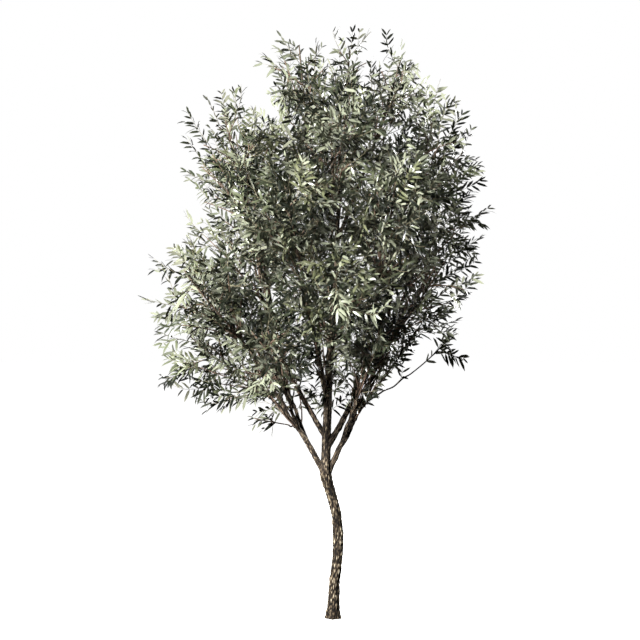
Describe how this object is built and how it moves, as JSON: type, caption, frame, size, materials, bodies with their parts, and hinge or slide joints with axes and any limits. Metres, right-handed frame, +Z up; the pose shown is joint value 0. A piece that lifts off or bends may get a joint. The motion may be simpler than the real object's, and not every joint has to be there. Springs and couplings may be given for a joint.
{
  "type": "olive tree",
  "caption": "Young olive tree: a slim swaying trunk forks at chest height into tapering boughs under an open, upright crown of narrow grey-green leaves.",
  "frame": {"origin": "centre of the flat cut under the trunk, at ground level", "axes": "+Z up from the ground to the crown's tip, -Y towards the front of the tree, +X to the right seen from the front"},
  "size_m": [2.4078, 2.1183, 4.1776],
  "materials": {
    "bark": "rough grey-brown bark with pale flecks and dark fissures",
    "bough_bark": "smoother grey-brown young bark",
    "foliage": "narrow leathery leaves, grey-green above and silvery beneath"
  },
  "bodies": {
    "root": {"trunk": "bark", "leader": "bough_bark", "bough_low_left": "bough_bark", "bough_low_right": "bough_bark", "bough_low_left_front": "bough_bark", "bough_low_left_back": "bough_bark", "bough_low_right_front": "bough_bark", "bough_low_right_back": "bough_bark", "bough_mid_left_front": "bough_bark", "bough_mid_left_back": "bough_bark", "bough_mid_front": "bough_bark", "bough_mid_back": "bough_bark", "bough_mid_right_front": "bough_bark", "bough_mid_right_back": "bough_bark", "bough_high_left": "bough_bark", "bough_high_right": "bough_bark", "bough_high_left_front": "bough_bark", "bough_high_left_back": "bough_bark", "bough_high_right_front": "bough_bark", "bough_high_right_back": "bough_bark", "bough_upper_left_front": "bough_bark", "bough_upper_left_back": "bough_bark", "bough_upper_right_front": "bough_bark", "bough_upper_right_back": "bough_bark", "bough_upper_front": "bough_bark", "bough_upper_back": "bough_bark", "bough_top_left": "bough_bark", "bough_top_right": "bough_bark", "branch_right": "bough_bark", "twig_left": "bough_bark", "low_right": "foliage", "low_right_back": "foliage", "low_left_back": "foliage", "low_left": "foliage", "low_left_front": "foliage", "low_right_front": "foliage", "mid_right_back": "foliage", "mid_back": "foliage", "mid_left_back": "foliage", "mid_left_front": "foliage", "mid_front": "foliage", "mid_right_front": "foliage", "high_right": "foliage", "high_right_back": "foliage", "high_left_back": "foliage", "high_left": "foliage", "high_left_front": "foliage", "high_right_front": "foliage", "upper_right_back": "foliage", "upper_back": "foliage", "upper_left_back": "foliage", "upper_left_front": "foliage", "upper_front": "foliage", "upper_right_front": "foliage", "top_right": "foliage", "top_left": "foliage", "top_middle": "foliage", "shoot_right": "foliage", "shoot_left": "foliage"}
  },
  "joints": []
}
